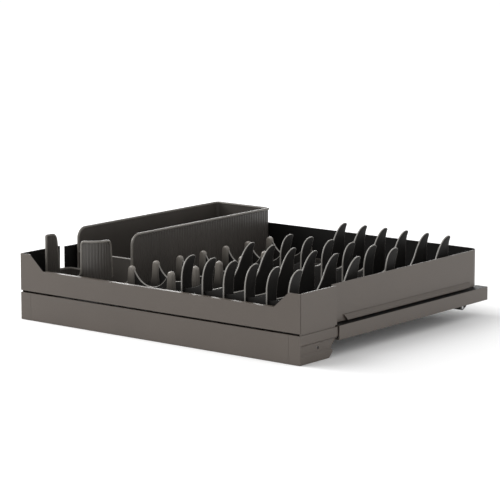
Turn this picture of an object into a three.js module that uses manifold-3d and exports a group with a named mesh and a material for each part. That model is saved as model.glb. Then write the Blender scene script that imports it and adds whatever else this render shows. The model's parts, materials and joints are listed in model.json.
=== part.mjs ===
// Pull-out dish drying rack for a 600 mm kitchen cabinet: a sheet metal tray on full-extension slides,
// with plastic inserts for utensils, cutlery, bowls and plates.
// Millimetres. X runs from left to right, Y from the front to the back, Z up.
// Inside the rack group, X = 0 is the middle, Y = 0 the front face and Z = 0 the bottom of the fascia.
import * as THREE from 'three';
import { mergeVertices } from 'three/addons/utils/BufferGeometryUtils.js';
import Module from 'manifold-3d';

// ---- driving dimensions ----
const CLEAR_WIDTH = 564; // between the cabinet's sides
const PANEL_WIDTH = 560; // front panel and fascia
const DEPTH = 497; // front face to the rear of the rails
const SHEET = 1.2; // sheet metal of the tray
const GAP = 0.3; // between pieces that touch
const CORNER_SEAM = 1; // open seam between front panel and side returns

const FASCIA_TOP = 43.8;
const TRAY_BOTTOM = 47;
const PANEL_TOP = 81.8; // middle of the front panel
const WALL_TOP = 106.5; // walls and the front panel's ears
const EAR_FLAT = 21; // level top of an ear
const EAR_FOOT = 48.6; // where an ear's slope meets the panel's middle
const HEM_DEPTH = 7; // bent-back top edge of the panel's middle
const RETURN_REAR = 91; // rear end of the short full-width side plates
const WALL_SHEET = 1;
const WALL_X = 270; // outer face of the side walls
const WALL_REAR = 490; // outer face of the rear wall
const WALL_RADIUS = 18; // rear corners, outside
const SEAM_X = 259; // where fascia and corner brackets meet

const RAIL_SHEET = 1.5;
const RAIL_FRONT = 94.5;
const RAIL_REAR = DEPTH;
const RAIL_BOTTOM = 23.5;
const RAIL_TOP = 45;
const MIDDLE_WEB_X = 262; // inner face of the slide's middle member
const TRACK_X = 244; // inner face of the drawer track's web
const BAR_FRONT = 425; // front edge of the crossbar's flange
const BAR_REAR = 450;
const BAR_BOTTOM = 12;

const INSERT_BOTTOM = 50.3;
const INSERT_BASE = 2.5;

// ---- materials ----
const material = (color, roughness, metalness) =>
  new THREE.MeshStandardMaterial({ color, roughness, metalness });
const COATED_STEEL = material(0x676159, 0.45, 0.35);
const COATED_DARK = material(0x3a3835, 0.5, 0.3);
const ZINC_STEEL = material(0x9a9c9d, 0.35, 0.9);
const DARK_PLASTIC = material(0x353230, 0.55, 0);
const GLIDE_NYLON = material(0xd8d5cc, 0.6, 0);
const BUMPER_RUBBER = material(0x1c1c1c, 0.85, 0);

// ---- solids ----
const wasm = await Module();
wasm.setup();

function toSolid(geometry) {
  geometry.deleteAttribute('normal');
  geometry.deleteAttribute('uv');
  const merged = mergeVertices(geometry, 1e-4);
  const mesh = new wasm.Mesh({
    numProp: 3,
    vertProperties: merged.attributes.position.array,
    triVerts: new Uint32Array(merged.index.array),
  });
  return new wasm.Manifold(mesh);
}

function toGeometry(solid) {
  const mesh = solid.getMesh();
  const geometry = new THREE.BufferGeometry();
  geometry.setAttribute('position', new THREE.BufferAttribute(new Float32Array(mesh.vertProperties), 3));
  geometry.setIndex(new THREE.BufferAttribute(new Uint32Array(mesh.triVerts), 1));
  const flat = geometry.toNonIndexed();
  flat.computeVertexNormals();
  return flat;
}

const join = (solids) => solids.reduce((whole, solid) => whole.add(solid));

// A box between two values of each coordinate, given in either order.
function block(xs, ys, zs) {
  const size = [xs, ys, zs].map(([a, b]) => Math.abs(b - a));
  const middle = [xs, ys, zs].map(([a, b]) => (a + b) / 2);
  return toSolid(new THREE.BoxGeometry(...size).translate(...middle));
}

// An outline whose points are [u, v] or, for a rounded corner, [u, v, radius].
// ROUND makes a curve with its control points on the two sides follow a quarter circle.
const ROUND = 0.5523;
function outline(points) {
  const shape = new THREE.Shape();
  const corner = new THREE.Vector2();
  const step = (from, to, length) => to.clone().sub(from).setLength(length).add(from);
  points.forEach(([u, v, radius = 0], i) => {
    corner.set(u, v);
    const before = new THREE.Vector2(...points.at(i - 1).slice(0, 2));
    const after = new THREE.Vector2(...points[(i + 1) % points.length].slice(0, 2));
    const enter = step(corner, before, radius);
    const leave = step(corner, after, radius);
    if (i === 0) shape.moveTo(enter.x, enter.y);
    else shape.lineTo(enter.x, enter.y);
    if (radius === 0) return;
    const control = [enter.clone().lerp(corner, ROUND), leave.clone().lerp(corner, ROUND)];
    shape.bezierCurveTo(control[0].x, control[0].y, control[1].x, control[1].y, leave.x, leave.y);
  });
  shape.closePath();
  return shape;
}

// Prisms: a shape drawn in (x, y), (y, z) or (x, z), drawn out along the third axis.
const extrude = (shape, depth, curveSegments) =>
  new THREE.ExtrudeGeometry(shape, { depth, curveSegments, bevelEnabled: false });

function prismZ(shape, [z0, z1], segments = 5) {
  return toSolid(extrude(shape, z1 - z0, segments).translate(0, 0, z0));
}

function prismX(shape, [x0, x1], segments = 5) {
  const turn = new THREE.Matrix4().set(0, 0, 1, x0, 1, 0, 0, 0, 0, 1, 0, 0, 0, 0, 0, 1);
  return toSolid(extrude(shape, x1 - x0, segments).applyMatrix4(turn));
}

function prismY(shape, [y0, y1], segments = 5) {
  const turn = new THREE.Matrix4().set(1, 0, 0, 0, 0, 0, -1, y1, 0, 1, 0, 0, 0, 0, 0, 1);
  return toSolid(extrude(shape, y1 - y0, segments).applyMatrix4(turn));
}

// A turned piece on a vertical axis through (x, y): profile points are [radius, z], axis to axis.
function turned(profile, x, y) {
  const points = profile.map(([radius, z]) => new THREE.Vector2(radius, z));
  const geometry = new THREE.LatheGeometry(points, 16);
  return toSolid(geometry.rotateX(Math.PI / 2).translate(x, y, 0));
}

const rod = (radius, x, y, [z0, z1]) => turned([[0, z0], [radius, z0], [radius, z1], [0, z1]], x, y);

const mirrored = (solid, side) => (side < 0 ? solid.mirror([1, 0, 0]) : solid);

// A rounded rectangle in plan.
function roundedPlan([x0, x1], [y0, y1], radius) {
  return outline([[x0, y0, radius], [x1, y0, radius], [x1, y1, radius], [x0, y1, radius]]);
}

// ---- scene graph ----
const rack = new THREE.Group();
rack.position.y = -DEPTH / 2;
const cabinetSide = new THREE.Group();
const middleMembers = new THREE.Group();
const drawer = new THREE.Group();
const inserts = new THREE.Group();
rack.add(cabinetSide, middleMembers, drawer, inserts);

function add(group, name, solid, look, position = [0, 0, 0]) {
  const mesh = new THREE.Mesh(toGeometry(solid), look);
  mesh.name = name;
  mesh.position.set(...position);
  group.add(mesh);
}

function addBothSides(group, name, rightSolid, look) {
  add(group, `${name}_left`, mirrored(rightSolid, -1), look);
  add(group, `${name}_right`, rightSolid, look);
}

// ---- cabinet side: rails, crossbar, bumpers ----
const RAIL_OUT = CLEAR_WIDTH / 2;
const BAR_SCREW_X = 272.5;
const BAR_SCREW_Y = (BAR_FRONT + BAR_REAR) / 2;
const SCREW_HOLE = 2.6;

// C-section, open towards the middle, closed at the rear by a plate.
function railRight() {
  const web = RAIL_OUT - RAIL_SHEET;
  const section = outline([
    [RAIL_OUT, RAIL_BOTTOM],
    [RAIL_OUT, RAIL_TOP],
    [260, RAIL_TOP],
    [260, RAIL_TOP - RAIL_SHEET],
    [web, RAIL_TOP - RAIL_SHEET],
    [web, RAIL_BOTTOM + RAIL_SHEET],
    [265, RAIL_BOTTOM + RAIL_SHEET],
    [265, RAIL_BOTTOM],
  ]);
  const channel = prismY(section, [RAIL_FRONT, RAIL_REAR]);
  const rearPlate = block([262, RAIL_OUT - 0.5], [RAIL_REAR - RAIL_SHEET, RAIL_REAR], [24, 44.5]);
  const hole = rod(SCREW_HOLE, BAR_SCREW_X, BAR_SCREW_Y, [20, 30]);
  return channel.add(rearPlate).subtract(hole);
}

// Angle section under the rails' lower flanges: a flat flange, and an upright web with chamfered ends.
function rearCrossbar() {
  const top = RAIL_BOTTOM - GAP;
  const web = prismY(
    outline([[-266.5, BAR_BOTTOM], [266.5, BAR_BOTTOM], [272.5, 19], [272.5, top], [-272.5, top], [-272.5, 19]]),
    [BAR_REAR - 3, BAR_REAR],
  );
  const flange = block([-276, 276], [BAR_FRONT, BAR_REAR], [top - 1.5, top]);
  const holes = [-1, 1].map((side) => rod(SCREW_HOLE, side * BAR_SCREW_X, BAR_SCREW_Y, [0, 30]));
  return holes.reduce((solid, hole) => solid.subtract(hole), join([web, flange]));
}

// Pan head above the rail's flange, shank down into the crossbar.
function crossbarScrew() {
  const flange = RAIL_BOTTOM + RAIL_SHEET + GAP;
  return turned(
    [[0, 16], [1.6, 16], [2.2, 16.8], [2.2, flange], [4.2, flange], [3.4, flange + 1.2], [0, flange + 1.2]],
    BAR_SCREW_X,
    BAR_SCREW_Y,
  );
}

function closingBumper() {
  const rear = RAIL_REAR - RAIL_SHEET - GAP;
  const button = new THREE.CylinderGeometry(5.4, 4.6, 3.4, 16);
  return toSolid(button.translate(271, rear - 1.7, 34));
}

addBothSides(cabinetSide, 'rail', railRight(), COATED_STEEL);
add(cabinetSide, 'rear_crossbar', rearCrossbar(), COATED_DARK);
addBothSides(cabinetSide, 'crossbar_screw', crossbarScrew(), ZINC_STEEL);
addBothSides(cabinetSide, 'closing_bumper', closingBumper(), BUMPER_RUBBER);

// ---- middle members of the slides ----
const MIDDLE_REAR = 489;
const MIDDLE_TOP = 41.5;
const MIDDLE_BOTTOM = 27;

// H-section: wide flanges run inside the rail, narrow ones inside the drawer track.
function middleSlide() {
  const web = MIDDLE_WEB_X;
  const thick = 1.5;
  const section = outline([
    [278, MIDDLE_BOTTOM],
    [278, MIDDLE_BOTTOM + thick],
    [web + thick, MIDDLE_BOTTOM + thick],
    [web + thick, MIDDLE_TOP - thick],
    [278, MIDDLE_TOP - thick],
    [278, MIDDLE_TOP],
    [web, MIDDLE_TOP],
    [web, 38],
    [249, 38],
    [249, 36.5],
    [web, 36.5],
    [web, 32.5],
    [249, 32.5],
    [249, 31],
    [web, 31],
    [web, MIDDLE_BOTTOM],
  ]);
  return prismY(section, [100, MIDDLE_REAR]);
}

// C-shaped nylon block around the middle member near its rear end, a sliding fit in the rail.
function slideGlide() {
  const outer = block([265.5, 280], [380, 428], [25.4, 43.1]);
  const hollow = block([265, 278.3], [375, 432], [MIDDLE_BOTTOM - GAP, MIDDLE_TOP + GAP]);
  return outer.subtract(hollow);
}

addBothSides(middleMembers, 'middle_slide', middleSlide(), ZINC_STEEL);
addBothSides(middleMembers, 'slide_glide', slideGlide(), GLIDE_NYLON);

// ---- drawer: tray ----
const HALF = PANEL_WIDTH / 2;
const BRACKET_BOLTS = [22, 62];
const TRACK_BOLTS = [140, 420];
const BRACKET_BOLT_X = 258;
const TRACK_BOLT_X = 234;
const BOLT_HOLE = 2.6;

// Front plate with two raised ears, a bent-back top edge and a tab inside each ear.
function frontPanel() {
  const foot = HALF - EAR_FOOT;
  const flat = HALF - EAR_FLAT;
  const plate = prismY(
    outline([
      [-HALF, TRAY_BOTTOM],
      [HALF, TRAY_BOTTOM],
      [HALF, WALL_TOP],
      [flat, WALL_TOP],
      [foot, PANEL_TOP],
      [-foot, PANEL_TOP],
      [-flat, WALL_TOP],
      [-HALF, WALL_TOP],
    ]),
    [0, SHEET],
  );
  const hem = block([3 - foot, foot - 3], [0, HEM_DEPTH], [PANEL_TOP - SHEET, PANEL_TOP]);
  const tabs = [-1, 1].map((side) =>
    block([side * (HALF - 2.7), side * (HALF - 1.5)], [SHEET / 2, 18], [TRAY_BOTTOM + 2, WALL_TOP - 2]),
  );
  return join([plate, hem, ...tabs]);
}

function sideReturn() {
  const front = SHEET + CORNER_SEAM;
  const side = outline([
    [front, TRAY_BOTTOM],
    [RETURN_REAR, TRAY_BOTTOM],
    [RETURN_REAR, WALL_TOP, 1.5],
    [front, WALL_TOP],
  ]);
  return prismX(side, [HALF - SHEET, HALF]);
}

// One strip bent round the two rear corners.
function trayWall() {
  const front = RETURN_REAR + GAP;
  const strip = new THREE.Shape();
  const cornerX = WALL_X - WALL_RADIUS;
  const cornerY = WALL_REAR - WALL_RADIUS;
  const inside = WALL_RADIUS - WALL_SHEET;
  const quarter = Math.PI / 2;
  strip.moveTo(WALL_X, front);
  strip.absarc(cornerX, cornerY, WALL_RADIUS, 0, quarter, false);
  strip.absarc(-cornerX, cornerY, WALL_RADIUS, quarter, 2 * quarter, false);
  strip.lineTo(-WALL_X, front);
  strip.lineTo(WALL_SHEET - WALL_X, front);
  strip.absarc(-cornerX, cornerY, inside, 2 * quarter, quarter, true);
  strip.absarc(cornerX, cornerY, inside, quarter, 0, true);
  strip.lineTo(WALL_X - WALL_SHEET, front);
  strip.closePath();
  return prismZ(strip, [TRAY_BOTTOM, WALL_TOP], 8);
}

function trayFloor() {
  const wide = HALF - 1.5;
  const narrow = WALL_X - WALL_SHEET - GAP;
  const rear = WALL_REAR - WALL_SHEET - GAP;
  const round = WALL_RADIUS - WALL_SHEET;
  const plan = outline([
    [-wide, SHEET + GAP],
    [wide, SHEET + GAP],
    [wide, RETURN_REAR],
    [narrow, RETURN_REAR],
    [narrow, rear, round],
    [-narrow, rear, round],
    [-narrow, RETURN_REAR],
    [-wide, RETURN_REAR],
  ]);
  const sheet = prismZ(plan, [TRAY_BOTTOM, TRAY_BOTTOM + SHEET], 8);
  return boltPlaces().reduce(
    (solid, [x, y]) => solid.subtract(rod(BOLT_HOLE, x, y, [TRAY_BOTTOM - 5, TRAY_BOTTOM + 5])),
    sheet,
  );
}

function boltPlaces() {
  const bracket = BRACKET_BOLTS.flatMap((y) => [[-BRACKET_BOLT_X, y], [BRACKET_BOLT_X, y]]);
  const track = TRACK_BOLTS.flatMap((y) => [[-TRACK_BOLT_X, y], [TRACK_BOLT_X, y]]);
  return [...bracket, ...track];
}

// Shallow liner with a low rim, on the tray floor.
function dripTray() {
  const bottom = TRAY_BOTTOM + SHEET + GAP;
  const outer = prismZ(roundedPlan([-266.5, 266.5], [8, 486], 11.5), [bottom, 56], 6);
  const inner = prismZ(roundedPlan([-265, 265], [9.5, 484.5], 10), [INSERT_BOTTOM - GAP, 60], 6);
  return outer.subtract(inner);
}

// Narrow strip along the foot of a side wall, sloped on top, with chamfered ends.
function sideSkirt() {
  const inner = WALL_X + GAP;
  const section = outline([[inner, 47.5], [WALL_X + 3, 47.5], [WALL_X + 3, 51.5], [inner, 56.5]]);
  const chamfered = outline([[128, 47.5], [457, 47.5], [462, 56.5], [121, 56.5]]);
  return prismY(section, [118, 465]).intersect(prismX(chamfered, [WALL_X, WALL_X + 4]));
}

add(drawer, 'front_panel', frontPanel(), COATED_STEEL);
addBothSides(drawer, 'side_return', sideReturn(), COATED_STEEL);
add(drawer, 'tray_wall', trayWall(), COATED_STEEL);
add(drawer, 'tray_floor', trayFloor(), COATED_STEEL);
add(drawer, 'drip_tray', dripTray(), DARK_PLASTIC);
addBothSides(drawer, 'side_skirt', sideSkirt(), COATED_STEEL);

// ---- drawer: fascia ----
const LAP_X = [236, 258.5];
const FASCIA_SCREW_X = 247;
const FASCIA_SCREWS = [12, 32];
const BRACKET_HOLE = { y: 47, z: 19.5, radius: 2.3 };
const CHANNEL_DEPTH = 2.4;

// Flat plate with its top and bottom edges bent back.
function fasciaPlate() {
  const half = SEAM_X - GAP;
  const section = outline([
    [0, 0],
    [14, 0],
    [14, SHEET],
    [SHEET, SHEET],
    [SHEET, FASCIA_TOP - SHEET],
    [20, FASCIA_TOP - SHEET],
    [20, FASCIA_TOP],
    [0, FASCIA_TOP],
  ]);
  const notches = [-1, 1].map((side) => block([side * 247.6, side * 262], [SHEET, 25], [-1, 50]));
  return notches.reduce((solid, notch) => solid.subtract(notch), prismX(section, [-half, half]));
}

// Corner bracket: side plate with a pressed channel and a hole, front strip, lap, top flange, and a
// low lug along the side that closes the gap under the tray.
function fasciaBracket() {
  const out = HALF;
  const inn = HALF - SHEET;
  const pressed = (x) => x - CHANNEL_DEPTH;
  const section = outline([
    [out, 0],
    [out, 10.5],
    [pressed(out), 13.5],
    [pressed(out), 26.5],
    [out, 29.5],
    [out, FASCIA_TOP],
    [inn, FASCIA_TOP],
    [inn, 30],
    [pressed(inn), 27],
    [pressed(inn), 13],
    [inn, 10],
    [inn, 0],
  ]);
  const side = outline([[0, 0], [72, 0], [80, 8.5], [80, 16], [94, 30.5], [92.5, FASCIA_TOP], [0, FASCIA_TOP]]);
  const wall = prismY(section, [2, 95]).intersect(prismX(side, [HALF - 6, HALF]));
  const hole = new THREE.CylinderGeometry(BRACKET_HOLE.radius, BRACKET_HOLE.radius, 20, 16);
  hole.rotateZ(Math.PI / 2).translate(HALF, BRACKET_HOLE.y, BRACKET_HOLE.z);
  const corner = block([HALF - 4, HALF], [0, 2.2], [0, FASCIA_TOP]);
  const strip = block([SEAM_X, HALF], [0, SHEET], [0, FASCIA_TOP]);
  const joggle = block([LAP_X[1] - 1, SEAM_X + 3], [SHEET + GAP, 2 * SHEET + GAP], [4, 38]);
  const step = block([SEAM_X + 1, SEAM_X + 3], [SHEET / 2, 2 * SHEET + GAP], [4, 38]);
  const lap = block(LAP_X, [SHEET + GAP, 2 * SHEET + GAP], [4, 38]);
  const flange = block([248, HALF - 0.5], [2, 76], [FASCIA_TOP - SHEET, FASCIA_TOP]);
  const flangeRoot = block([SEAM_X + 1, HALF - 1], [SHEET / 2, 3], [FASCIA_TOP - SHEET, FASCIA_TOP]);
  const lug = block([HALF - 2.4, HALF - 1.2], [2.5, 88], [FASCIA_TOP - 1, TRAY_BOTTOM - GAP]);
  const bolts = BRACKET_BOLTS.map((y) => rod(BOLT_HOLE, BRACKET_BOLT_X, y, [30, 50]));
  const screws = FASCIA_SCREWS.map((z) => screwHole(z));
  const body = join([wall, corner, strip, joggle, step, lap, flange, flangeRoot, lug]);
  return [toSolid(hole), ...bolts, ...screws].reduce((solid, cutter) => solid.subtract(cutter), body);
}

function screwHole(z) {
  return toSolid(new THREE.CylinderGeometry(2, 2, 12, 16).translate(FASCIA_SCREW_X, 0, z));
}

// Shoulder bolt: head under the bracket's flange, collar between flange and tray floor.
function shoulderBolt(flangeBottom, flangeTop, x, y) {
  const head = flangeBottom - GAP;
  const collar = flangeTop + GAP;
  const floor = TRAY_BOTTOM - GAP;
  const shank = 2.1;
  return turned(
    [
      [0, head - 2.4],
      [3.4, head - 2.4],
      [4.4, head - 1.2],
      [4.4, head],
      [shank, head],
      [shank, collar],
      [4, collar],
      [4, floor],
      [shank, floor],
      [shank, TRAY_BOTTOM + SHEET],
      [0, TRAY_BOTTOM + SHEET],
    ],
    x,
    y,
  );
}

// Rivet-like screw from behind: head on the lap, shank through it, short of the fascia plate.
function fasciaScrew(side, z) {
  const lapRear = 2 * SHEET + GAP;
  const profile = [[0, 1.45], [1.7, 1.45], [1.7, lapRear + GAP], [3.6, lapRear + GAP], [3.2, lapRear + 1.8], [0, lapRear + 1.8]];
  const points = profile.map(([radius, y]) => new THREE.Vector2(radius, y));
  const geometry = new THREE.LatheGeometry(points, 16).translate(side * FASCIA_SCREW_X, 0, z);
  return toSolid(geometry);
}

add(drawer, 'fascia_plate', fasciaPlate(), COATED_STEEL);
addBothSides(drawer, 'fascia_bracket', fasciaBracket(), COATED_STEEL);
for (const [side, sideName] of [[-1, 'left'], [1, 'right']]) {
  BRACKET_BOLTS.forEach((y, i) => {
    const bolt = shoulderBolt(FASCIA_TOP - SHEET, FASCIA_TOP, side * BRACKET_BOLT_X, y);
    add(drawer, `bracket_bolt_${sideName}_${i + 1}`, bolt, ZINC_STEEL);
  });
  FASCIA_SCREWS.forEach((z, i) => {
    add(drawer, `fascia_screw_${sideName}_${i + 1}`, fasciaScrew(side, z), ZINC_STEEL);
  });
}

// ---- drawer: tracks under the floor ----
const TRACK_TOP = 45.4;
const TRACK_REAR = 480;

// C-section that holds the middle member's narrow flanges, with a flange bolted under the floor.
function drawerTrack() {
  const web = TRACK_X;
  const face = web + SHEET;
  const section = outline([
    [258, 27.8],
    [258, 29],
    [face, 29],
    [face, 40],
    [258, 40],
    [258, 41.2],
    [face, 41.2],
    [face, TRACK_TOP],
    [224, TRACK_TOP],
    [224, TRACK_TOP - SHEET],
    [web, TRACK_TOP - SHEET],
    [web, 27.8],
  ]);
  const track = prismY(section, [98, TRACK_REAR]);
  const holes = TRACK_BOLTS.map((y) => rod(BOLT_HOLE, TRACK_BOLT_X, y, [35, 50]));
  return holes.reduce((solid, hole) => solid.subtract(hole), track);
}

// Nylon block at the track's rear end, slotted for the middle member's flanges.
function trackGlide() {
  const whole = block([245.6, 257.5], [430, 470], [29.4, 39.6]);
  const slots = [30.7, 36.2].map((z) => block([248.6, 260], [420, 480], [z, z + 2.1]));
  return slots.reduce((solid, slot) => solid.subtract(slot), whole);
}

addBothSides(drawer, 'drawer_track', drawerTrack(), ZINC_STEEL);
addBothSides(drawer, 'track_glide', trackGlide(), GLIDE_NYLON);
for (const [side, sideName] of [[-1, 'left'], [1, 'right']]) {
  TRACK_BOLTS.forEach((y, i) => {
    const bolt = shoulderBolt(TRACK_TOP - SHEET, TRACK_TOP, side * TRACK_BOLT_X, y);
    add(drawer, `track_bolt_${sideName}_${i + 1}`, bolt, ZINC_STEEL);
  });
}

// ---- utensil box: long bin with a low front section ----
const BOX_LEFT = -263;
const BOX_WIDTH = 117.5;
const BOX_CORNER = 8;
const BOX_LENGTH = 465;
const BOX_FRONT = 10;
const BOX_WALL = 2;
const BOX_TALL = 85.2; // rim above the insert's own base
const BOX_LOW = 9.7;
const BOX_CROSS = 45.7;
const TALL_FRONT = 107; // front edge of the tall walls, from the box's front

// Seen from the side, the space over the low section, with a fillet at the foot of the tall walls.
function overLowSection() {
  return outline([
    [-5, BOX_LOW],
    [TALL_FRONT, BOX_LOW, 15],
    [TALL_FRONT, BOX_TALL, 16],
    [TALL_FRONT + 20, BOX_TALL],
    [TALL_FRONT + 20, BOX_TALL + 10],
    [-5, BOX_TALL + 10],
  ]);
}

function utensilBox() {
  const wall = BOX_WALL;
  const inside = [wall, BOX_WIDTH - wall];
  const outer = prismZ(roundedPlan([0, BOX_WIDTH], [0, BOX_LENGTH], BOX_CORNER), [0, BOX_TALL]);
  const hollow = prismZ(roundedPlan(inside, [wall, BOX_LENGTH - wall], BOX_CORNER - wall), [wall, BOX_TALL + 5]);
  const around = [[-1.6, BOX_WIDTH + 1.6], [-1.6, BOX_LENGTH + 1.6]];
  const lip = prismZ(roundedPlan(...around, BOX_CORNER + 1), [BOX_TALL - 3, BOX_TALL]);
  const above = prismX(overLowSection(), [-10, BOX_WIDTH + 10], 6);
  const cross = block([wall / 2, BOX_WIDTH - wall / 2], [TALL_FRONT - 1, TALL_FRONT + 1], [wall / 2, BOX_CROSS]);
  return outer.add(lip).subtract(hollow).subtract(above).add(cross);
}

// ---- cutlery caddy: a tall curved wall at the right, a tall tab at the left ----
const CADDY_RADIUS = 29.5;
const CADDY_STRAIGHT = 82; // from the left wall to the centre of the half-round end
const CADDY_HEIGHT = 80.9;
const CADDY_SADDLE = 22;
const CADDY_WALL = 1.8;
const TAB_Y = [6, 36]; // the tab's foot, from the caddy's front
const CURVE_REAR = 46; // rear foot of the tall curved wall, from the caddy's front

function caddyPlan(inset) {
  const plan = new THREE.Shape();
  const radius = CADDY_RADIUS - inset;
  const corner = 8 - inset;
  plan.moveTo(inset + corner, inset);
  plan.absarc(CADDY_STRAIGHT, CADDY_RADIUS, radius, -Math.PI / 2, Math.PI / 2, false);
  plan.absarc(inset + corner, 2 * CADDY_RADIUS - inset - corner, corner, Math.PI / 2, Math.PI, false);
  plan.absarc(inset + corner, inset + corner, corner, Math.PI, 1.5 * Math.PI, false);
  return plan;
}

// Side view of what is cut away behind a tall wall whose rear edge slants down to the given foot.
function behindTallWall(foot) {
  const high = CADDY_HEIGHT + 5;
  const far = 2 * CADDY_RADIUS + 5;
  return outline([
    [foot - 28, high],
    [foot - 28, CADDY_HEIGHT],
    [foot - 6, CADDY_HEIGHT, 12],
    [foot, CADDY_SADDLE],
    [far, CADDY_SADDLE],
    [far, high],
  ]);
}

function cutleryCaddy() {
  const outer = prismZ(caddyPlan(0), [0, CADDY_HEIGHT], 10);
  const hollow = prismZ(caddyPlan(CADDY_WALL), [CADDY_WALL, CADDY_HEIGHT + 5], 10);
  const high = CADDY_HEIGHT + 5;
  const saddle = prismY(
    outline([
      [5, CADDY_SADDLE, 4],
      [CADDY_STRAIGHT, CADDY_SADDLE, 12],
      [CADDY_STRAIGHT, CADDY_HEIGHT, 6],
      [CADDY_STRAIGHT + 10, CADDY_HEIGHT],
      [CADDY_STRAIGHT + 10, high],
      [5, high],
    ]),
    [-5, 2 * CADDY_RADIUS + 5],
  );
  const beforeTab = block([-5, 12], [-5, TAB_Y[0]], [CADDY_SADDLE, high]);
  const behindTab = prismX(behindTallWall(TAB_Y[1]), [-5, 12]);
  const behindCurve = prismX(behindTallWall(CURVE_REAR), [CADDY_STRAIGHT - 3, CADDY_STRAIGHT + CADDY_RADIUS + 5]);
  const cutters = [hollow, saddle, beforeTab, behindTab, behindCurve];
  return cutters.reduce((solid, cutter) => solid.subtract(cutter), outer);
}

// ---- bowl rack: U-shaped cradles on one base ----
const BOWL_WIDTH = 157;
const BOWL_LENGTH = 474;
const CRADLE_COUNT = 7;
const CRADLE_PITCH = 58.6;
const CRADLE_FIRST = 56; // from the rack's front edge
const CRADLE_THICK = 3;
const HORN_X = [40, 121]; // centres of a cradle's two horn tips
const HORN_TOP = 46.7;
const HORN_WIDTH = 12;
const HORN_THICK = 9.6;
const HORN_FLARE = 5; // extra half width of a horn at its foot
const CRADLE_LOW = 18; // lowest point of the U

function cradleRib() {
  const shape = new THREE.Shape();
  const [left, right] = HORN_X;
  const shoulder = HORN_TOP - 2.7;
  shape.moveTo(left - 9, 0);
  shape.lineTo(left - 4, shoulder);
  shape.lineTo(left + 4.5, shoulder);
  shape.bezierCurveTo(left + 10, shoulder - 13, left + 22, CRADLE_LOW, (left + right) / 2, CRADLE_LOW);
  shape.bezierCurveTo(right - 22, CRADLE_LOW, right - 10, shoulder - 13, right - 4.5, shoulder);
  shape.lineTo(right + 4, shoulder);
  shape.lineTo(right + 9, 0);
  shape.closePath();
  return shape;
}

function horn(centre) {
  const half = HORN_WIDTH / 2;
  return outline([
    [centre - half - HORN_FLARE, 0],
    [centre + half + HORN_FLARE, 0],
    [centre + half + 0.8, HORN_TOP - 22],
    [centre + half, HORN_TOP, 5.8],
    [centre - half, HORN_TOP, 5.8],
    [centre - half - 0.8, HORN_TOP - 22],
  ]);
}

function bowlRack() {
  const base = prismZ(roundedPlan([0, BOWL_WIDTH], [0, BOWL_LENGTH], 10), [0, INSERT_BASE]);
  const cradles = Array.from({ length: CRADLE_COUNT }, (_, i) => {
    const y = CRADLE_FIRST + i * CRADLE_PITCH;
    const around = (thickness) => [y - thickness / 2, y + thickness / 2];
    const rib = prismY(cradleRib(), around(CRADLE_THICK), 8);
    return join([rib, ...HORN_X.map((x) => prismY(horn(x), around(HORN_THICK), 4))]);
  });
  return join([base, ...cradles]);
}

// ---- plate rack: hooked fins on one base, with scalloped webs between them ----
const PLATE_WIDTH = 245;
const PLATE_LENGTH = 226;
const FIN_COUNT = 6;
const FIN_PITCH = 41;
const FIN_FIRST = 21; // from the rack's left edge
const FIN_FRONT = 9; // from the rack's front edge
const FIN_THICK = 3;
const HOOK_TOP = 82.2;
const FIN_DIP = 21;
const FIN_BACK = 171;

// Side view of a fin: an upright hook at the front and a leaning one at the back.
function finSide() {
  const shape = new THREE.Shape();
  shape.moveTo(0, 0);
  shape.lineTo(0, 50);
  shape.bezierCurveTo(1, 66, 9, HOOK_TOP, 26, HOOK_TOP);
  shape.quadraticCurveTo(34, HOOK_TOP, 33, 77);
  shape.bezierCurveTo(28, 66, 23, 54, 24, 36);
  shape.bezierCurveTo(25, 25, 35, FIN_DIP, 50, FIN_DIP);
  shape.lineTo(98, FIN_DIP);
  shape.bezierCurveTo(118, FIN_DIP, 126, 34, 137, 47);
  shape.bezierCurveTo(145, 62, 155, 80, 172, HOOK_TOP);
  shape.quadraticCurveTo(180, HOOK_TOP, 179, 78);
  shape.bezierCurveTo(174, 71, 172, 60, 172.5, 46);
  shape.lineTo(FIN_BACK, 0);
  shape.closePath();
  return shape;
}

// Front view of a web: low beside the fin on its left, rising to the one on its right.
function webFront() {
  const shape = new THREE.Shape();
  shape.moveTo(0, 0);
  shape.lineTo(FIN_PITCH, 0);
  shape.lineTo(FIN_PITCH, 48);
  shape.quadraticCurveTo(FIN_PITCH * 0.72, 36, 0, 34);
  shape.closePath();
  return shape;
}

function plateRack() {
  const base = prismZ(roundedPlan([0, PLATE_WIDTH], [0, PLATE_LENGTH], 10), [0, INSERT_BASE]);
  const fins = Array.from({ length: FIN_COUNT }, (_, i) => {
    const x = FIN_FIRST + i * FIN_PITCH;
    return prismX(finSide(), [x - FIN_THICK / 2, x + FIN_THICK / 2], 6).translate([0, FIN_FRONT, 0]);
  });
  const webs = Array.from({ length: FIN_COUNT - 1 }, (_, i) =>
    prismY(webFront(), [FIN_FRONT + 4, FIN_FRONT + 6.5], 5).translate([FIN_FIRST + i * FIN_PITCH, 0, 0]),
  );
  return join([base, ...fins, ...webs]);
}

add(inserts, 'utensil_box', utensilBox(), DARK_PLASTIC, [BOX_LEFT, BOX_FRONT, INSERT_BOTTOM]);
add(inserts, 'cutlery_caddy', cutleryCaddy(), DARK_PLASTIC, [-260.5, 32, INSERT_BOTTOM + BOX_WALL + GAP]);
add(inserts, 'bowl_rack', bowlRack(), DARK_PLASTIC, [-142, 10, INSERT_BOTTOM]);
add(inserts, 'plate_rack_front', plateRack(), DARK_PLASTIC, [18, 10, INSERT_BOTTOM]);
add(inserts, 'plate_rack_rear', plateRack(), DARK_PLASTIC, [18, 255, INSERT_BOTTOM]);

export default rack;
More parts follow.
